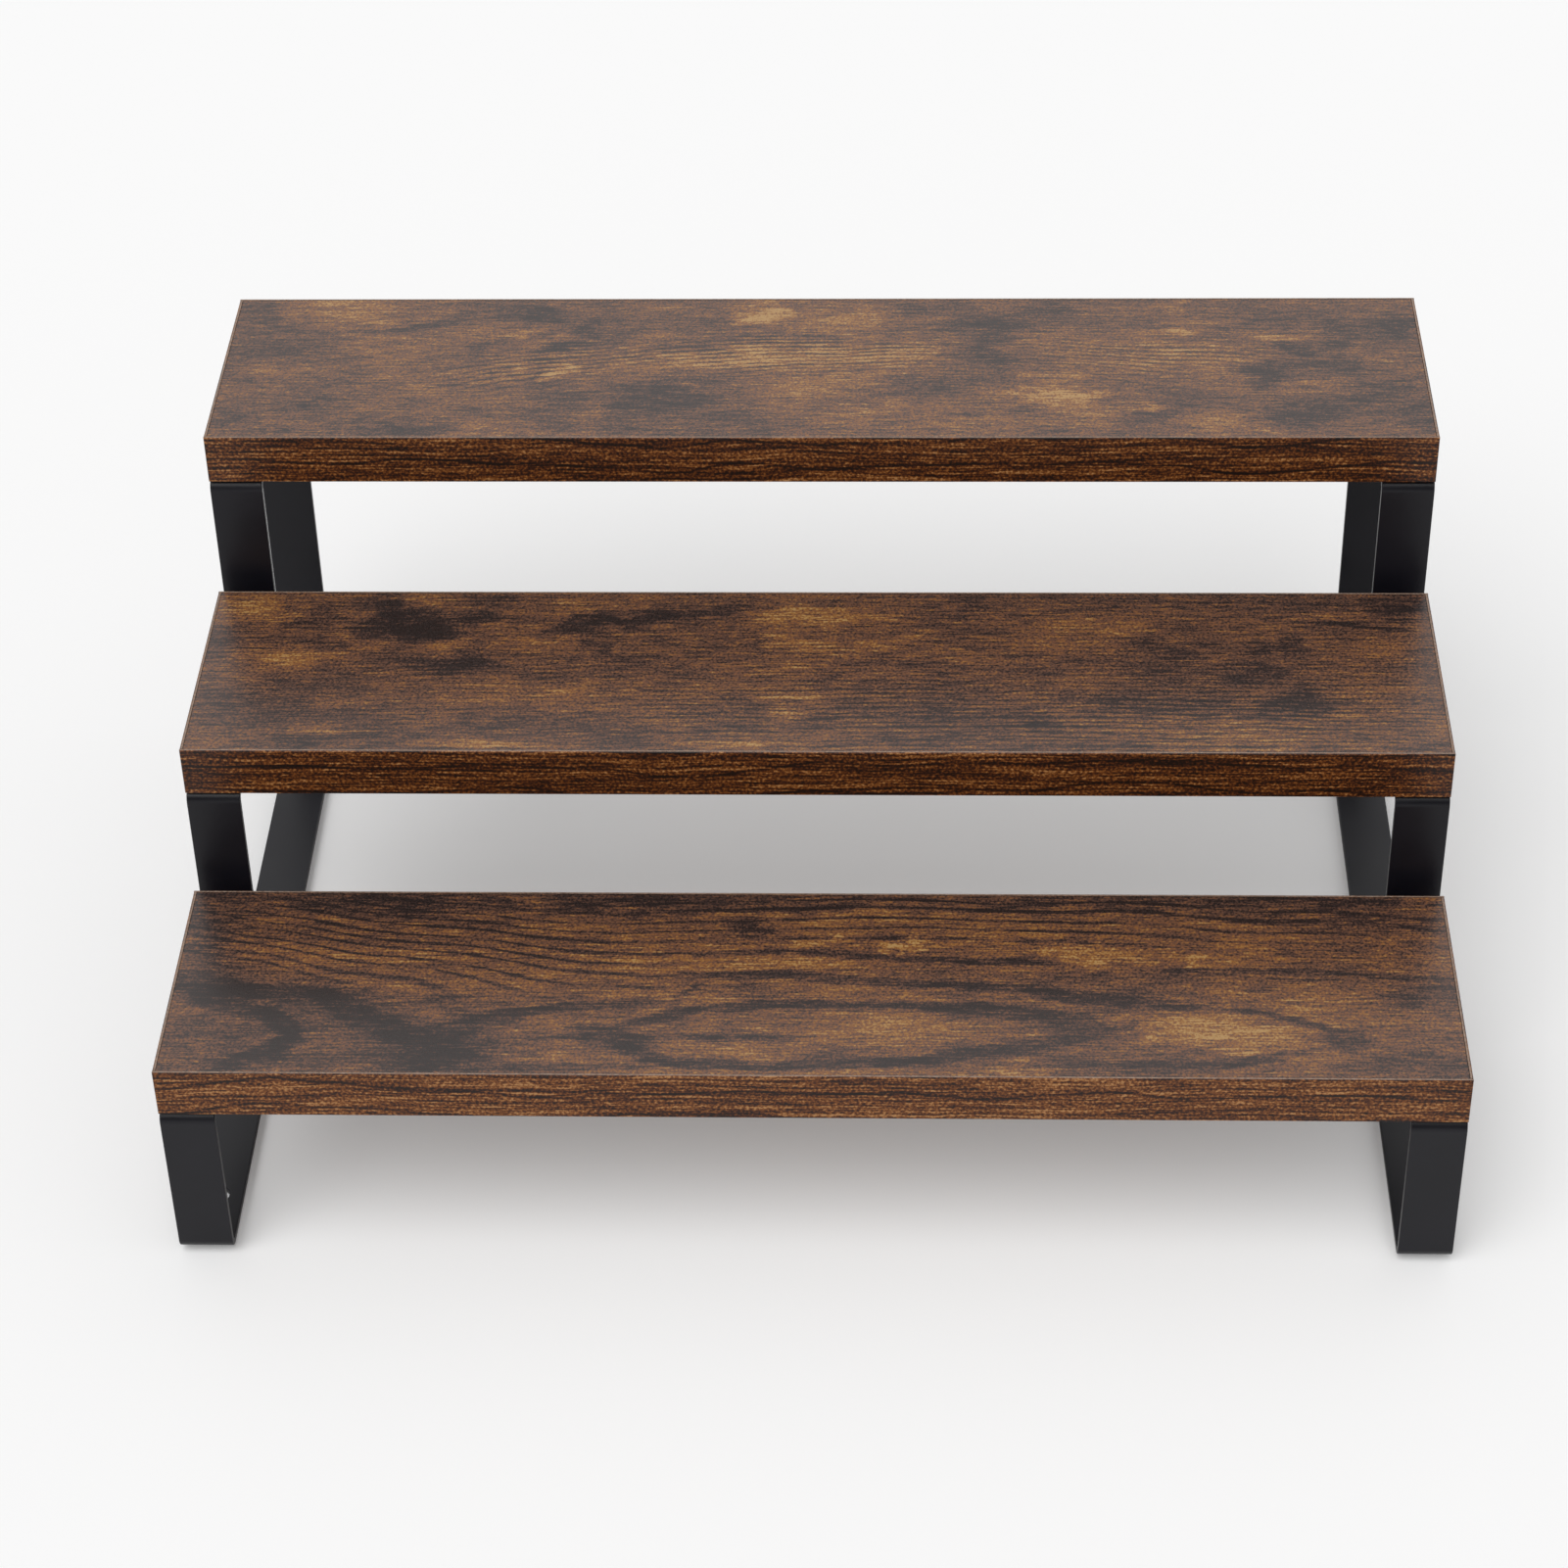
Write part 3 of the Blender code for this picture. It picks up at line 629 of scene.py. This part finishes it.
def ring_lines(tree, place, rings, tone, lines, presence, paper):
    """Draws late-wood lines into a tone, dark on the ring and a little paler between, with breaks."""
    pitch, half_width, depth = lines["pitch"], lines["half_width"], lines["depth"]
    changes = {"W": rings, "Scale": RING_STRAY_PACE / pitch, "Detail": 1.0}
    uneven = add(tree, "ShaderNodeTexNoise", changes, noise_dimensions="1D")
    first = lines["first"] + pitch * RING_STRAY / 2
    years = add(tree, "ShaderNodeMath", {0: rings, 1: first}, operation="SUBTRACT")
    most = pitch * RING_STRAY
    years = add(tree, "ShaderNodeMath", {0: uneven, 1: most, 2: years}, operation="MULTIPLY_ADD")
    away = add(tree, "ShaderNodeMath", {0: years, 1: pitch / 2}, operation="PINGPONG")

    length, width, *texture = LINE_SWELL_NOISE
    swell = along_grain(tree, place, length * pitch, width * pitch, *texture, paper + 6)["Fac"]
    thin, thick = [half_width * share for share in LINE_SWELL_RANGE]
    swell = add(
        tree,
        "ShaderNodeMapRange",
        {"Value": swell, "From Min": NOISE_LOW, "From Max": NOISE_HIGH, "To Min": thin, "To Max": thick},
    )
    away = add(tree, "ShaderNodeMath", {0: away, 1: swell}, operation="DIVIDE")
    line = add(
        tree,
        "ShaderNodeMapRange",
        {
            "Value": away,
            "From Min": 1.0,
            "From Max": LINE_CORE,
            "To Min": -LINE_HALO * depth,
            "To Max": depth,
        },
        interpolation_type="SMOOTHSTEP",
    )

    length, width, *texture = LINE_BREAK_NOISE
    breaks = along_grain(tree, place, length * pitch, width * pitch, *texture, paper + 8)["Fac"]
    broken, whole = LINE_BREAK_RANGE
    kept = add(
        tree,
        "ShaderNodeMapRange",
        {"Value": breaks, "From Min": broken, "From Max": whole, "To Max": presence},
    )
    line = add(tree, "ShaderNodeMath", {0: line, 1: kept}, operation="MULTIPLY")
    return add(tree, "ShaderNodeMath", {0: tone, 1: line}, operation="SUBTRACT")


def rustic_print(name, stretch, middle_y):
    """The melamine film of one board, its print centred on the board's middle."""
    paper = stretch["paper"]
    material, tree, shader, place = new_material(name)
    middle = (0, middle_y * MM_PER_METRE, 0)
    place = add(tree, "ShaderNodeVectorMath", {0: place, 1: middle}, operation="SUBTRACT")
    place = add(tree, "ShaderNodeVectorMath", {0: place, 1: (1, 1, 0)}, operation="MULTIPLY")

    # The veins fray along the fibres, the rings also wander slowly, and the clouds have ragged rims
    fray = along_grain(tree, place, *FRAY_NOISE, paper + 2)
    frayed = stray(tree, place, fray, FRAY_REACH_MM)
    fibrous = stray(tree, place, fray, [reach * stretch["fray"] for reach in FRAY_REACH_MM])
    wandering = stray(tree, fibrous, along_grain(tree, place, *WANDER_NOISE, paper), WANDER_REACH_MM)
    ragged = stray(tree, place, along_grain(tree, place, *RAG_NOISE, paper + 4), RAG_REACH_MM)

    figure = patchwork(tree, ragged, 0.0, stretch["clouds"], CLOUD_CORE)
    figure = patchwork(tree, frayed, figure, stretch["veins"], VEIN_CORE)
    mottle = along_grain(tree, place, *MOTTLE_NOISE, paper + 10)["Fac"]
    least, most = MOTTLE_RANGE
    mottle = add(
        tree,
        "ShaderNodeMapRange",
        {"Value": mottle, "From Min": NOISE_LOW, "From Max": NOISE_HIGH, "To Min": least, "To Max": most},
    )
    ground = stretch["base"]
    tone = add(tree, "ShaderNodeMath", {0: figure, 1: mottle, 2: ground}, operation="MULTIPLY_ADD")
    tone, speck = streaked(tree, place, tone, PRINT_STREAKS, paper)

    rings, *more_rings = [
        oval_reach(tree, wandering, x, y, longer / pace, 1 / pace, turn)
        for x, y, longer, pace, turn in stretch["hearts"]
    ]
    for reach in more_rings:
        rings = add(tree, "ShaderNodeMath", {0: rings, 1: reach, 2: RING_MERGE_MM}, operation="SMOOTH_MIN")
    everywhere = stretch["lines"]["everywhere"]
    presence = patchwork(tree, ragged, everywhere, stretch["line_clouds"], CLOUD_CORE)
    tone = ring_lines(tree, place, rings, tone, stretch["lines"], presence, paper)

    brown = add(tree, "ShaderNodeValToRGB", {"Fac": tone}, steps=PRINT_STEPS)
    smooth, rough = FILM_ROUGHNESS
    satin = add(
        tree,
        "ShaderNodeMapRange",
        {
            "Value": speck,
            "From Min": -SPECK_REACH,
            "From Max": SPECK_REACH,
            "To Min": smooth,
            "To Max": rough,
        },
    )
    relief = add(
        tree,
        "ShaderNodeBump",
        {"Height": speck, "Strength": FILM_EMBOSS_STRENGTH, "Distance": FILM_EMBOSS_DEPTH},
    )
    feed(tree, shader, {"Base Color": brown, "Roughness": satin, "Normal": relief})
    return material


def slab(name, node):
    """A block of a CAD node's size, in its place, open for editing."""
    low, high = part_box(node)
    bpy.ops.object.select_all(action="DESELECT")
    bpy.ops.mesh.primitive_cube_add(size=1, location=(low + high) / 2)
    piece = begin(name)
    bpy.ops.transform.resize(value=high - low)
    return piece


# The underside of a board shows another board's stretch of the print
LAMINATE_EDGE_EASING = 0.00012
LAMINATE_EDGE_SEGMENTS = 2
for tier, under in zip(TIERS, ("upper", "lower", "middle")):
    node = f"{tier}_board_top_laminate"
    middle_y = box_middle(node).y
    sheet = slab(f"{tier}_top_film", node)
    pick(sheet, "EDGE", lambda edge: all(point.co.z > 0 for point in edge.verts))
    bpy.ops.mesh.bevel(offset=LAMINATE_EDGE_EASING, segments=LAMINATE_EDGE_SEGMENTS, affect="EDGES")
    bpy.ops.object.mode_set(mode="OBJECT")
    close_up(sheet)
    film = rustic_print(f"{tier} board rustic wood melamine", PRINTS[tier], middle_y)
    seat(sheet, node, "wood_laminate", film)
    underside = rustic_print(f"{tier} board underside melamine", PRINTS[under], middle_y)
    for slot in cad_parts[f"{tier}_board_bottom_laminate"].material_slots:
        slot.material = underside

# Edge bands: plastic strip, 0.8 mm, printed with straight wood grain and glued round the board's edges.
# The trimmer runs along their top and bottom, leaving a small radius and a pale line, which is bare plastic
# and also a painted highlight along the trimmed edge.
BAND_ROUNDING = 0.0003
BAND_STEPS = ((0.0, "#160802"), (0.3, "#381909"), (0.55, "#623411"), (0.78, "#855226"), (1.0, "#aa7b4c"))
BAND_STREAKS = (
    (80, 3.5, 2, 0.5, 0.2),
    (50, 0.9, 3, 0.6, 1.6),
    (9, 0.7, 2, 0.65, 1.0),
    (0.9, 0.8, 1, 0.6, 1.3),
)
# Ground tone of each board's bands. The lower bands' lighter ground is partly a painted reflection of the
# white floor in front of them.
BAND_TONES_WITH_PAINTED_REFLECTION = {"lower": 0.53, "middle": 0.41, "upper": 0.43}
BAND_WANDER_NOISE = (50, 30, 1, 0.5)
BAND_WANDER_MM = (0, 3, 0)
BAND_WIND_NOISE = (70, 60, 2, 0.5)
BAND_WIND_MM = (0, 14, 0)
BAND_VEIN_PITCH_MM = 9
BAND_VEIN_HALF_WIDTH_MM = 0.7
BAND_VEIN_CORE_MM = 0.1
BAND_VEIN_DEPTH = 0.4
BAND_ROUGHNESS = 0.28
BAND_SPECULAR = 0.3
BAND_EMBOSS_DEPTH = 0.00005
BAND_EMBOSS_STRENGTH = 0.2
END_BAND_PAPER = 40


def straight_grain(name, turn, paper, tone):
    """The band's printed face, its grain along X, or along Y where it is turned."""
    material, tree, shader, place = new_material(name)
    place = add(tree, "ShaderNodeMapping", {"Vector": place, "Rotation": (0, 0, turn)})
    parts = add(tree, "ShaderNodeSeparateXYZ", {"Vector": place}).node.outputs
    face = add(tree, "ShaderNodeCombineXYZ", {"X": parts["X"], "Y": parts["Z"]})
    wandering = stray(tree, face, along_grain(tree, face, *BAND_WANDER_NOISE, paper), BAND_WANDER_MM)
    tone, tick = streaked(tree, wandering, tone, BAND_STREAKS, paper)

    # A dark vein or two winds along the band
    winding = stray(tree, face, along_grain(tree, face, *BAND_WIND_NOISE, paper + 5), BAND_WIND_MM)
    height = add(tree, "ShaderNodeSeparateXYZ", {"Vector": winding}).node.outputs["Y"]
    away = add(tree, "ShaderNodeMath", {0: height, 1: BAND_VEIN_PITCH_MM / 2}, operation="PINGPONG")
    vein = add(
        tree,
        "ShaderNodeMapRange",
        {
            "Value": away,
            "From Min": BAND_VEIN_HALF_WIDTH_MM,
            "From Max": BAND_VEIN_CORE_MM,
            "To Max": BAND_VEIN_DEPTH,
        },
        interpolation_type="SMOOTHSTEP",
    )
    tone = add(tree, "ShaderNodeMath", {0: tone, 1: vein}, operation="SUBTRACT")

    brown = add(tree, "ShaderNodeValToRGB", {"Fac": tone}, steps=BAND_STEPS)
    relief = add(
        tree,
        "ShaderNodeBump",
        {"Height": tick, "Strength": BAND_EMBOSS_STRENGTH, "Distance": BAND_EMBOSS_DEPTH},
    )
    feed(tree, shader, {"Base Color": brown, "Roughness": BAND_ROUGHNESS, "Normal": relief})
    feed(tree, shader, {"Specular IOR Level": BAND_SPECULAR})
    return material


# Bare ABS where the trimmer has cut through the print: pale brown, scraped along its length. Its paleness
# is partly a painted highlight, the glint along the trimmed edge.
SCRAPE_AND_GLINT_STEPS = ((0.3, "#7a6152"), (0.7, "#a08a7a"))
SCRAPE_MM = 0.8
SCRAPE_ROUGHNESS = 0.5
bare_plastic_and_glint, tree, shader, place = new_material("trimmed brown plastic with painted glint")
scrape = add(tree, "ShaderNodeTexNoise", {"Vector": place, "Scale": 1 / SCRAPE_MM, "Detail": 2.0})
pale_brown_and_glint = add(tree, "ShaderNodeValToRGB", {"Fac": scrape}, steps=SCRAPE_AND_GLINT_STEPS)
feed(tree, shader, {"Base Color": pale_brown_and_glint, "Roughness": SCRAPE_ROUGHNESS})

for tier, tone in BAND_TONES_WITH_PAINTED_REFLECTION.items():
    paper = PRINTS[tier]["paper"]
    along_front = straight_grain(f"{tier} edge band grain", 0, paper, tone)
    along_side = straight_grain(f"{tier} end band grain", math.pi / 2, paper + END_BAND_PAPER, tone)
    for edge, axis, sign in (("front", 1, -1), ("back", 1, 1), ("left", 0, -1), ("right", 0, 1)):
        node = f"{tier}_board_{edge}_edge_band"
        band = slab(f"{tier}_{edge}_band", node)

        def is_rounded(rim):
            """Says yes to a band's outer rims, on side bands only to those along its top and bottom."""
            on_face = all(sign * point.co[axis] > 0 for point in rim.verts)
            upright = abs(rim.verts[0].co.z - rim.verts[1].co.z) > SAME_SPOT
            return on_face and (axis == 1 or not upright)

        pick(band, "EDGE", is_rounded)
        bpy.ops.mesh.bevel(offset=BAND_ROUNDING, segments=EDGE_SEGMENTS, affect="EDGES")
        bpy.ops.object.mode_set(mode="OBJECT")
        close_up(band)
        seat(band, node, "edge_band", along_front if axis == 1 else along_side, bare_plastic_and_glint)
        for face in band.data.polygons:
            face.material_index = 1 if abs(face.normal.z) > LEVEL else 0

# Screws: pan-head wood screws, 3.8 mm, zinc plated, with a cross recess. Two come up through each tread
# at each end into the board's core. They are headed from wire, which leaves the head's rim rounded, and
# the recess is punched.
HEAD_ROUNDING = 0.0012
HEAD_SEGMENTS = 6
HEAD_HEIGHT = 0.0024
SHANK_RADIUS = 0.0019
POINT_LENGTH = 0.0035
RECESS_SPAN = 0.0040
RECESS_SLOT = 0.0010
RECESS_DEPTH = 0.0012
SCREW_SEGMENTS = 40
screw_low, screw_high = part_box("lower_left_front_screw")
screw_x, screw_y, _ = box_middle("lower_left_front_screw")
head_radius = (screw_high.x - screw_low.x) / 2
bpy.ops.object.select_all(action="DESELECT")
bpy.ops.mesh.primitive_cylinder_add(
    vertices=SCREW_SEGMENTS,
    radius=head_radius,
    depth=HEAD_HEIGHT,
    location=(screw_x, screw_y, screw_low.z + HEAD_HEIGHT / 2),
)
screw = begin("lower_left_front_wood_screw")
pick(screw, "EDGE", lambda edge: all(point.co.z < 0 for point in edge.verts))
bpy.ops.mesh.bevel(offset=HEAD_ROUNDING, segments=HEAD_SEGMENTS, affect="EDGES")
pick(screw, "FACE", lambda face: face.normal.z > LEVEL)
bpy.ops.mesh.inset(thickness=head_radius - SHANK_RADIUS)
shank_length = screw_high.z - screw_low.z - HEAD_HEIGHT - POINT_LENGTH
bpy.ops.mesh.extrude_region_move(TRANSFORM_OT_translate={"value": (0, 0, shank_length)})
bpy.ops.mesh.extrude_region_move(TRANSFORM_OT_translate={"value": (0, 0, POINT_LENGTH)})
bpy.ops.mesh.merge(type="CENTER")
bpy.ops.object.mode_set(mode="OBJECT")
head_face = (screw_x, screw_y, screw_low.z)
for turn in (0, math.pi / 2):
    bpy.ops.object.select_all(action="DESELECT")
    bpy.ops.mesh.primitive_cube_add(size=1, location=head_face, rotation=(0, 0, turn))
    punch = bpy.context.object
    punch.scale = (RECESS_SPAN, RECESS_SLOT, 2 * RECESS_DEPTH)
    apply_modifier(screw, "BOOLEAN", operation="DIFFERENCE", object=punch)
    bpy.data.objects.remove(punch)
screw.select_set(True)
close_up(screw)

# Bright zinc plate on steel: pale grey metal, bright and slightly clouded by handling.
ZINC_STEPS = ((0.3, "#b9bab6"), (0.7, "#cfd0cc"))
ZINC_CLOUD_MM = 1.2
ZINC_ROUGHNESS = (0.24, 0.42)
zinc, tree, shader, place = new_material("bright zinc plated steel")
clouding = add(tree, "ShaderNodeTexNoise", {"Vector": place, "Scale": 1 / ZINC_CLOUD_MM, "Detail": 3.0})
pale_grey = add(tree, "ShaderNodeValToRGB", {"Fac": clouding}, steps=ZINC_STEPS)
smooth, rough = ZINC_ROUGHNESS
haze = add(
    tree,
    "ShaderNodeMapRange",
    {"Value": clouding, "From Min": NOISE_LOW, "From Max": NOISE_HIGH, "To Min": smooth, "To Max": rough},
)
feed(tree, shader, {"Base Color": pale_grey, "Roughness": haze, "Metallic": 1.0})
for tier in TIERS:
    for side in SIDES:
        for row in ROWS:
            node = f"{tier}_{side}_{row}_screw"
            first = node == "lower_left_front_screw"
            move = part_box(node)[0] - screw_low
            piece = screw if first else copy_piece(screw, f"{tier}_{side}_{row}_wood_screw", move)
            seat(piece, node, "zinc_screw", zinc)

# Studio: a plain white floor that keeps the stand's soft shadow, a white room that is dark behind the
# camera, and one wide soft light from the front, above and a little to the left.
FLOOR_SIZE = 12.0
FLOOR_WHITE = "#f0f0f0"
FLOOR_ROUGHNESS = 0.9
FLOOR_LIFT = 0.13
bpy.ops.object.select_all(action="DESELECT")
bpy.ops.mesh.primitive_plane_add(size=FLOOR_SIZE)
floor = bpy.context.object
floor.name = "studio_floor"
white_floor, tree, shader, place = new_material("white studio floor")
rays = add(tree, "ShaderNodeLightPath", {}).node.outputs
lift = add(tree, "ShaderNodeMath", {0: rays["Is Camera Ray"], 1: FLOOR_LIFT}, operation="MULTIPLY")
feed(
    tree,
    shader,
    {
        "Base Color": linear(FLOOR_WHITE),
        "Roughness": FLOOR_ROUGHNESS,
        "Specular IOR Level": 0.0,
        "Emission Color": (1, 1, 1, 1),
        "Emission Strength": lift,
    },
)
floor.data.materials.append(white_floor)

# The room looks plain white, and in glossy surfaces it brightens from front to back and from low to high
ROOM_LIGHT = 0.5
ROOM_DARK = 0.12
ROOM_BACK = 1.1
FRONT_TO_BACK = (-0.3, 0.2)
LOW_TO_HIGH = (0.2, 0.4)
world = bpy.data.worlds.new("white room")
bpy.context.scene.world = world
world.use_nodes = True
tree = world.node_tree
rays = add(tree, "ShaderNodeLightPath", {}).node.outputs
seen = add(
    tree,
    "ShaderNodeMath",
    {0: rays["Is Camera Ray"], 1: rays["Is Transmission Ray"]},
    operation="MAXIMUM",
)
plain = add(tree, "ShaderNodeMapRange", {"Value": seen, "To Min": ROOM_LIGHT, "To Max": 1.0})
towards = add(tree, "ShaderNodeTexCoord", {}).node.outputs["Generated"]
heading = add(tree, "ShaderNodeSeparateXYZ", {"Vector": towards}).node.outputs
mirrored = ROOM_BACK
for axis, (dark_from, bright_from) in (("Y", FRONT_TO_BACK), ("Z", LOW_TO_HIGH)):
    mirrored = add(
        tree,
        "ShaderNodeMapRange",
        {
            "Value": heading[axis],
            "From Min": dark_from,
            "From Max": bright_from,
            "To Min": ROOM_DARK,
            "To Max": mirrored,
        },
    )
level = add(
    tree,
    "ShaderNodeMapRange",
    {"Value": rays["Is Glossy Ray"], "To Min": plain, "To Max": mirrored},
)
feed(tree, tree.nodes["Background"], {"Color": (1, 1, 1, 1), "Strength": level})

LIGHT_FROM = Vector((-0.22, -0.48, 0.85))
LIGHT_STRENGTH = 1.66
LIGHT_SPREAD = math.radians(50)
light_data = bpy.data.lights.new("wide soft light", "SUN")
light_data.energy = LIGHT_STRENGTH
light_data.angle = LIGHT_SPREAD
light = bpy.data.objects.new("wide soft light", light_data)
light.rotation_euler = (-LIGHT_FROM).to_track_quat("-Z", "Y").to_euler()
bpy.context.scene.collection.objects.link(light)

# Camera: a long lens in front of the stand and above it, looking down at the steps, turned a little to
# the left.
CAMERA_PLACE = Vector((0.03008, -0.87223, 0.75971))
CAMERA_DROP = math.radians(38.23)
CAMERA_LEFT = math.radians(2.6357)
CAMERA_ROLL = math.radians(-1.4471)
SENSOR_MM = 36.0
LENS_MM = 88.5
camera_data = bpy.data.cameras.new("camera")
camera_data.sensor_width = SENSOR_MM
camera_data.lens = LENS_MM
camera = bpy.data.objects.new("camera", camera_data)
camera.matrix_world = (
    Matrix.Translation(CAMERA_PLACE)
    @ Matrix.Rotation(CAMERA_LEFT, 4, "Z")
    @ Matrix.Rotation(math.pi / 2 - CAMERA_DROP, 4, "X")
    @ Matrix.Rotation(CAMERA_ROLL, 4, "Z")
)
bpy.context.scene.collection.objects.link(camera)
bpy.context.scene.camera = camera
bpy.context.scene.view_settings.view_transform = "Standard"
